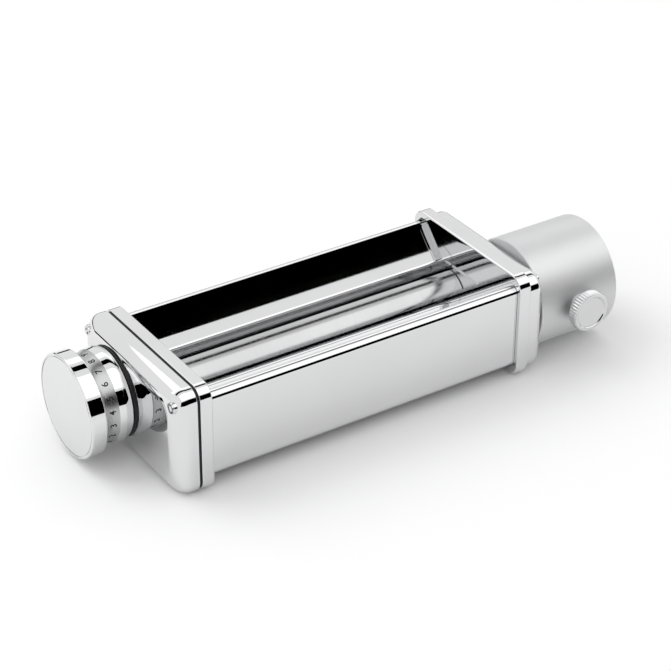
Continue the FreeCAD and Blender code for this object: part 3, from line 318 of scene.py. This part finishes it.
def flange(name):
    """Rounded plate with a shallow tray on its inner side."""
    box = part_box(name)
    low, high = box
    left = (low.x + high.x) / 2 < 0
    inner, outer = (high.x, low.x) if left else (low.x, high.x)
    middle, corner = (low.y + high.y) / 2, 6.5 * MM
    floor = inner + (outer - inner) / 3
    half, foot, crest, bevel = 39.65 * MM, 5.25 * MM, 49.3 * MM, 4.15 * MM
    tray = rounded([
        (middle - half, foot, 4.15 * MM, 12), (middle + half, foot, 4.15 * MM, 12),
        (middle + half, crest - bevel, 3.0 * MM, 12), (middle + half - bevel, crest, 3.0 * MM, 11),
        (middle - half + bevel, crest, 3.0 * MM, 11), (middle - half, crest - bevel, 3.0 * MM, 12),
    ])
    loops = [[Vector((x, y, z)) for y, z in tray] for x in (floor, inner)]
    rim = edge_profile((inner + outer) / 2, inner, 0.8 * MM)[1:]
    loops += [inset_rectangle(box, x, inset, corner) for x, inset in reversed(rim)]
    loops += [inset_rectangle(box, x, inset, corner) for x, inset in
              edge_profile((inner + outer) / 2, outer, 0.4 * MM)]
    shape = bmesh.new()
    loft(shape, loops)
    finish_mesh(name + "_casting", shape, CHROME_CAST, "housing", [name])


def cap(name, corner, edge, gap):
    """Cast cap that curves softly from its sides to its face, set off from its neighbour by a gap."""
    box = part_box(name)
    low, high = box
    left = high.x < 0
    inner, outer = (high.x - gap, low.x) if left else (low.x + gap, high.x)
    inner_edge, corner_growth = 0.5 * MM, 1.3
    shape = bmesh.new()
    loops = [inset_rectangle(box, x, inset, corner) for x, inset in
             reversed(edge_profile(outer, inner, inner_edge)[1:])]
    loops += [inset_rectangle(box, x, inset, corner + corner_growth * inset) for x, inset in
              edge_profile(inner, outer, edge, 24)[1:]]
    loft(shape, loops)
    finish_mesh(name + "_casting", shape, CHROME_CAST, "housing", [name])


def gasket(name, gap):
    """Dark seal that fills the groove between a flange and its cap."""
    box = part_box(name)
    low, high = box
    inset, corner = 0.35 * MM, 6.0 * MM
    shape = bmesh.new()
    loft(shape, [inset_rectangle(box, x, inset, corner) for x in (high.x, low.x - gap)])
    finish_mesh(name + "_moulded", shape, BLACK, "housing", [name])


def screw_heads(name, screws, plane, radius, inset):
    """Socket heads in the cap's curved corners; inset is how far their faces lie behind its plane."""
    low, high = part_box(screws)
    way = 1 if plane > 0 else -1
    reach = (high.z - low.z) / 2
    centre_z = (low.z + high.z) / 2
    face = plane - way * inset
    back, socket_floor = face - way * 2.5 * MM, face - way * 1.2 * MM
    shape = bmesh.new()
    for y in (low.y + reach, high.y - reach):
        turned = bmesh.new()
        lathe(turned, rounded([
            (back, 0, 0, 0), (back, radius, 0, 0), (face, radius, 0.5 * MM, 8),
            (face, 0.52 * radius, 0.1 * MM, 3), (socket_floor, 0.50 * radius, 0, 0), (socket_floor, 0, 0, 0),
        ]), (y, centre_z), steps=48)
        part = bpy.data.meshes.new("head")
        turned.to_mesh(part)
        turned.free()
        shape.from_mesh(part)
        bpy.data.meshes.remove(part)
    finish_mesh(name, shape, NICKEL, "housing", [])


# ---- turned pieces ----

def centre_of(node):
    low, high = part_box(node)
    return (low.y + high.y) / 2, (low.z + high.z) / 2


def radius_of(node):
    low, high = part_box(node)
    return (high.z - low.z) / 2


def roller(name, body):
    low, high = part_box(name)
    radius, chamfer, bore = radius_of(name), 0.4 * MM, 5.05 * MM
    profile = rounded([
        (low.x, bore, 0, 0), (low.x, radius, chamfer, 6), (high.x, radius, chamfer, 6), (high.x, bore, 0, 0),
    ])
    shape = bmesh.new()
    lathe(shape, profile, centre_of(name))
    finish_mesh(name + "_turned", shape, ROLLER, body, [name])


def barrel():
    name = "coupling_barrel"
    low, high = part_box(name)
    radius, edge, base = radius_of(name), 0.9 * MM, 4.0 * MM
    bore, socket, chamber, chamber_end = 8.05 * MM, 22.5 * MM, 18.5 * MM, high.x - 28.5 * MM
    profile = rounded([
        (low.x, bore, 0, 0), (low.x, radius, edge, 6), (high.x, radius, edge, 8),
        (high.x, socket, 0.5 * MM, 6),
        (chamber_end, socket, 0.3 * MM, 4), (chamber_end, chamber, 0.3 * MM, 4),
        (low.x + base, chamber, 0.5 * MM, 4), (low.x + base, bore, 0, 0),
    ])
    shape = bmesh.new()
    lathe(shape, profile, centre_of(name), steps=192)
    finish_mesh("coupling_barrel_turned", shape, BARREL, "housing", [name])


def dial():
    """Knob: flat face with a fine ring, polished rim, dished number ring and crowned collar."""
    centre = centre_of("dial_body")
    low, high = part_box("dial_body")
    ring_low, ring_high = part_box("dial_number_ring")
    face, back = low.x + 0.7 * MM, high.x + 0.8 * MM
    rim, collar = radius_of("dial_body"), 21.9 * MM
    disc = rim - 1.5 * MM
    seat, bore = 18.0 * MM, 5.05 * MM
    shape = bmesh.new()
    lathe(shape, rounded([
        (back, bore, 0, 0), (back, collar - 1.3 * MM, 1.0 * MM, 8), (back - 2.6 * MM, collar, 5.0 * MM, 14),
        (ring_high.x, collar - 0.7 * MM, 0.25 * MM, 4), (ring_high.x, seat, 0, 0), (ring_low.x, seat, 0, 0),
        (ring_low.x, rim, 0.9 * MM, 10), (face, rim, 0.8 * MM, 10),
        (face, disc + 0.35 * MM, 0.12 * MM, 4), (face + 0.5 * MM, disc + 0.35 * MM, 0, 0),
        (face + 0.5 * MM, bore, 0, 0),
    ]), centre, steps=192)
    finish_mesh("dial_body_turned", shape, CHROME_CAST, "dial_knob", ["dial_body"])
    shape = bmesh.new()
    lathe(shape, rounded([
        (face + 0.45 * MM, 0, 0, 0), (face, 0, 0, 0), (face, disc, 0.25 * MM, 6),
        (face + 0.45 * MM, disc, 0, 0),
    ]), centre, steps=192)
    finish_mesh("dial_disc_turned", shape, DISC, "dial_knob", ["dial_disc"])
    shape = bmesh.new()
    dish = [(x, dish_radius(x)) for x in
            (RING_FACE + (RING_BACK - RING_FACE) * step / 24 for step in range(25))]
    lathe(shape, [(ring_low.x, seat), *dish, (ring_high.x, seat)], centre, steps=192)
    finish_mesh("dial_number_ring_turned", shape, RING, "dial_knob", ["dial_number_ring"])
    digits(centre)
    seal_end, seal_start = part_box("dial_seal_ring")[1].x, back + 0.1 * MM
    seal_inside, seal_outside = 15.0 * MM, collar - 1.0 * MM
    shape = bmesh.new()
    lathe(shape, [
        (seal_end, seal_inside), (seal_end, seal_outside), (seal_start, seal_outside),
        (seal_start, seal_inside), (seal_end, seal_inside),
    ], centre)
    finish_mesh("dial_seal_moulded", shape, BLACK, "housing", ["dial_seal_ring"])


RING_FACE, RING_BACK = (corner.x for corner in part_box("dial_number_ring"))


def dish_radius(x):
    """Radius of the number ring's dished surface at x."""
    middle, half = (RING_FACE + RING_BACK) / 2, (RING_BACK - RING_FACE) / 2
    edge, depth = 21.2 * MM, 0.8 * MM
    return edge - depth * (1 - ((x - middle) / half) ** 2)


def digits(centre):
    """Setting numbers 0 to 9, filled in black, tops towards the dial's face."""
    middle = (RING_FACE + RING_BACK) / 2 + 0.6 * MM
    height, step, first = 3.0 * MM, 18.0, 152.0
    shape = bmesh.new()
    for number in range(10):
        letter = bpy.data.curves.new("digit", "FONT")
        letter.body = str(number)
        letter.size = height * 1.38
        letter.align_x = "CENTER"
        letter.extrude = 0.05 * MM
        letter.offset = 0.06 * MM
        carrier = bpy.data.objects.new("digit", letter)
        bpy.context.scene.collection.objects.link(carrier)
        bpy.context.view_layer.update()
        evaluated = carrier.evaluated_get(bpy.context.evaluated_depsgraph_get())
        flat = bpy.data.meshes.new_from_object(evaluated)
        bpy.data.objects.remove(carrier)
        part = bmesh.new()
        part.from_mesh(flat)
        bmesh.ops.triangulate(part, faces=part.faces)
        bmesh.ops.subdivide_edges(part, edges=part.edges, cuts=2)
        angle = math.radians(first - step * number)
        for vertex in part.verts:
            x = middle - (vertex.co.y - height / 2)
            radius = dish_radius(x) + vertex.co.z
            turn = angle - vertex.co.x / dish_radius(x)
            vertex.co = Vector((x, centre[0] - radius * math.sin(turn), centre[1] + radius * math.cos(turn)))
        part.to_mesh(flat)
        part.free()
        shape.from_mesh(flat)
        bpy.data.meshes.remove(flat)
    finish_mesh("dial_digits", shape, INK, "dial_knob", [])


def thumbscrew():
    """Knurled head on a plain stem, along -Y."""
    low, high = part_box("thumbscrew")
    centre = ((low.x + high.x) / 2, (low.z + high.z) / 2)
    head, stem, nose = (high.x - low.x) / 2, 3.0 * MM, 1.5 * MM
    head_back = low.y + 5.1 * MM
    ridges, depth = 44, 0.45 * MM

    def knurl(radius, turn):
        if radius < head - 0.7 * MM:
            return radius
        return radius - depth * (0.5 - 0.5 * math.cos(ridges * turn))

    profile = rounded([
        (low.y + 0.5 * MM, 0, 0, 0), (low.y + 0.5 * MM, head - 2.4 * MM, 0.4 * MM, 4),
        (low.y, head - 1.9 * MM, 0.3 * MM, 4), (low.y, head, 0.9 * MM, 8),
        (head_back, head, 0.9 * MM, 8), (head_back, stem, 0.2 * MM, 3), (high.y - 1.0 * MM, stem, 0, 0),
        (high.y - 1.0 * MM, nose, 0, 0), (high.y, nose, 0, 0), (high.y, 0, 0, 0),
    ])
    shape = bmesh.new()
    lathe(shape, profile, centre, "Y", ridges * 8, knurl)
    finish_mesh("thumbscrew_knurled", shape, NICKEL, "thumbscrew", ["thumbscrew"], 50.0)


panel("front_panel", -1)
panel("rear_panel", 1)
flange("left_flange")
flange("right_flange")
cap("left_cap", 6.5 * MM, 7.5 * MM, SEAL_GAP)
gasket("left_gasket", SEAL_GAP)
screw_heads("left_cap_screw_heads", "left_cap_screws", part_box("left_cap")[0].x, 2.7 * MM, 0.85 * MM)
cap("right_cap", 8.0 * MM, 4.0 * MM, 0.0)
screw_heads("right_cap_screw_heads", "right_cap_screws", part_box("right_cap")[1].x, 2.2 * MM, 0.6 * MM)
roller("rear_roller", "rear_roller")
roller("front_roller", "front_roller")
barrel()
dial()
thumbscrew()

for node in frame["nodes"].values():
    node.data.shade_smooth()
    node.data.set_sharp_from_angle(angle=math.radians(30))


# The threaded insert is plated like the screw that it takes.
frame["nodes"]["thumbscrew_insert"].data.materials[0] = NICKEL


# ---- stage, light and camera ----

def floor():
    mesh = bpy.data.meshes.new("floor")
    reach = 6.0
    mesh.from_pydata([(-reach, -reach, 0), (reach, -reach, 0), (reach, reach, 0), (-reach, reach, 0)], [],
                     [(0, 1, 2, 3)])
    made = bpy.data.objects.new("floor", mesh)
    bpy.context.scene.collection.objects.link(made)
    material, tree, shader = new_material("pale table")
    tint(tree, noise(tree, 3.0, 2.0), (0.90, 0.90, 0.90), (0.92, 0.92, 0.92), shader.inputs["Base Color"])
    shader.inputs["Roughness"].default_value = 0.9
    shader.inputs["Specular IOR Level"].default_value = 0.1
    mesh.materials.append(material)


def card(name, corners, level):
    """Studio card that only shows in polished surfaces."""
    mesh = bpy.data.meshes.new(name)
    mesh.from_pydata(corners, [], [tuple(range(len(corners)))])
    made = bpy.data.objects.new(name, mesh)
    bpy.context.scene.collection.objects.link(made)
    material = bpy.data.materials.new(name)
    material.use_nodes = True
    tree = material.node_tree
    tree.nodes.clear()
    glow = tree.nodes.new("ShaderNodeEmission")
    glow.inputs["Color"].default_value = (level, level, level, 1)
    glow.inputs["Strength"].default_value = 1.0
    out = tree.nodes.new("ShaderNodeOutputMaterial")
    tree.links.new(glow.outputs["Emission"], out.inputs["Surface"])
    mesh.materials.append(material)
    made.visible_camera = False
    made.visible_diffuse = False
    made.visible_shadow = False


def world():
    made = bpy.data.worlds.new("studio")
    bpy.context.scene.world = made
    made.use_nodes = True
    tree = made.node_tree
    background = tree.nodes["Background"]
    background.inputs["Strength"].default_value = 1.0
    path = tree.nodes.new("ShaderNodeLightPath")
    mix = tree.nodes.new("ShaderNodeMixRGB")
    mix.inputs["Color1"].default_value = (0.94, 0.94, 0.94, 1)
    mix.inputs["Color2"].default_value = (1.0, 1.0, 1.0, 1)
    tree.links.new(path.outputs["Is Glossy Ray"], mix.inputs["Fac"])
    tree.links.new(mix.outputs["Color"], background.inputs["Color"])


def area_light(name, place, target, width, height, power):
    data = bpy.data.lights.new(name, "AREA")
    data.shape = "RECTANGLE"
    data.size, data.size_y, data.energy = width, height, power
    made = bpy.data.objects.new(name, data)
    bpy.context.scene.collection.objects.link(made)
    made.location = place
    made.rotation_mode = "QUATERNION"
    made.rotation_quaternion = (Vector(target) - Vector(place)).to_track_quat("-Z", "Y")
    made.visible_glossy = False


def camera():
    """Long lens, looking down from the front left."""
    data = bpy.data.cameras.new("camera")
    data.sensor_width = 36.0
    data.lens = 119.96
    made = bpy.data.objects.new("camera", data)
    bpy.context.scene.collection.objects.link(made)
    heading, tilt, roll = math.radians(-33.494), math.radians(31.716), math.radians(0.336)
    forward = Vector((
        -math.sin(heading) * math.cos(tilt), math.cos(heading) * math.cos(tilt), -math.sin(tilt)))
    level = forward.cross(Vector((0, 0, 1))).normalized()
    upward = level.cross(forward)
    right = level * math.cos(roll) + upward * math.sin(roll)
    up = upward * math.cos(roll) - level * math.sin(roll)
    made.matrix_world = Matrix((
        (right.x, up.x, -forward.x, -473.5 * MM), (right.y, up.y, -forward.y, -711.7 * MM),
        (right.z, up.z, -forward.z, 556.0 * MM), (0, 0, 0, 1)))
    bpy.context.scene.camera = made


floor()
world()
camera()
# What the polished metal mirrors: a dark strip overhead for the rear slope, and a softbox above a
# dark horizon both behind and in front for the rounded edges.
card("overhead strip", [(-1.2, 0.184, 1.0), (1.4, 0.184, 1.0), (1.4, 0.42, 1.0), (-1.2, 0.42, 1.0)], 0.0)
card("rear softbox", [(-1.2, 0.60, 1.0), (2.0, 0.60, 1.0), (2.0, 1.10, 1.0), (-1.2, 1.10, 1.0)], 1.5)
card("rear horizon", [(-1.5, 1.6, 0.0), (3.0, 1.6, 0.0), (3.0, 1.6, 0.22), (-1.5, 1.6, 0.22)], 0.0)
card("front softbox", [(-1.5, -1.2, 0.95), (2.5, -1.2, 0.95), (2.5, -0.1, 1.5), (-1.5, -0.1, 1.5)], 1.6)
card("front horizon", [(-2.0, -1.3, 0.0), (3.0, -1.3, 0.0), (3.0, -1.3, 0.85), (-2.0, -1.3, 0.85)], 0.0)
area_light("soft key", (-0.7, 0.9, 1.3), (0, 0, 0), 1.2, 1.2, 9.0)
bpy.context.scene.view_settings.view_transform = "Standard"
bpy.context.scene.view_settings.look = "None"
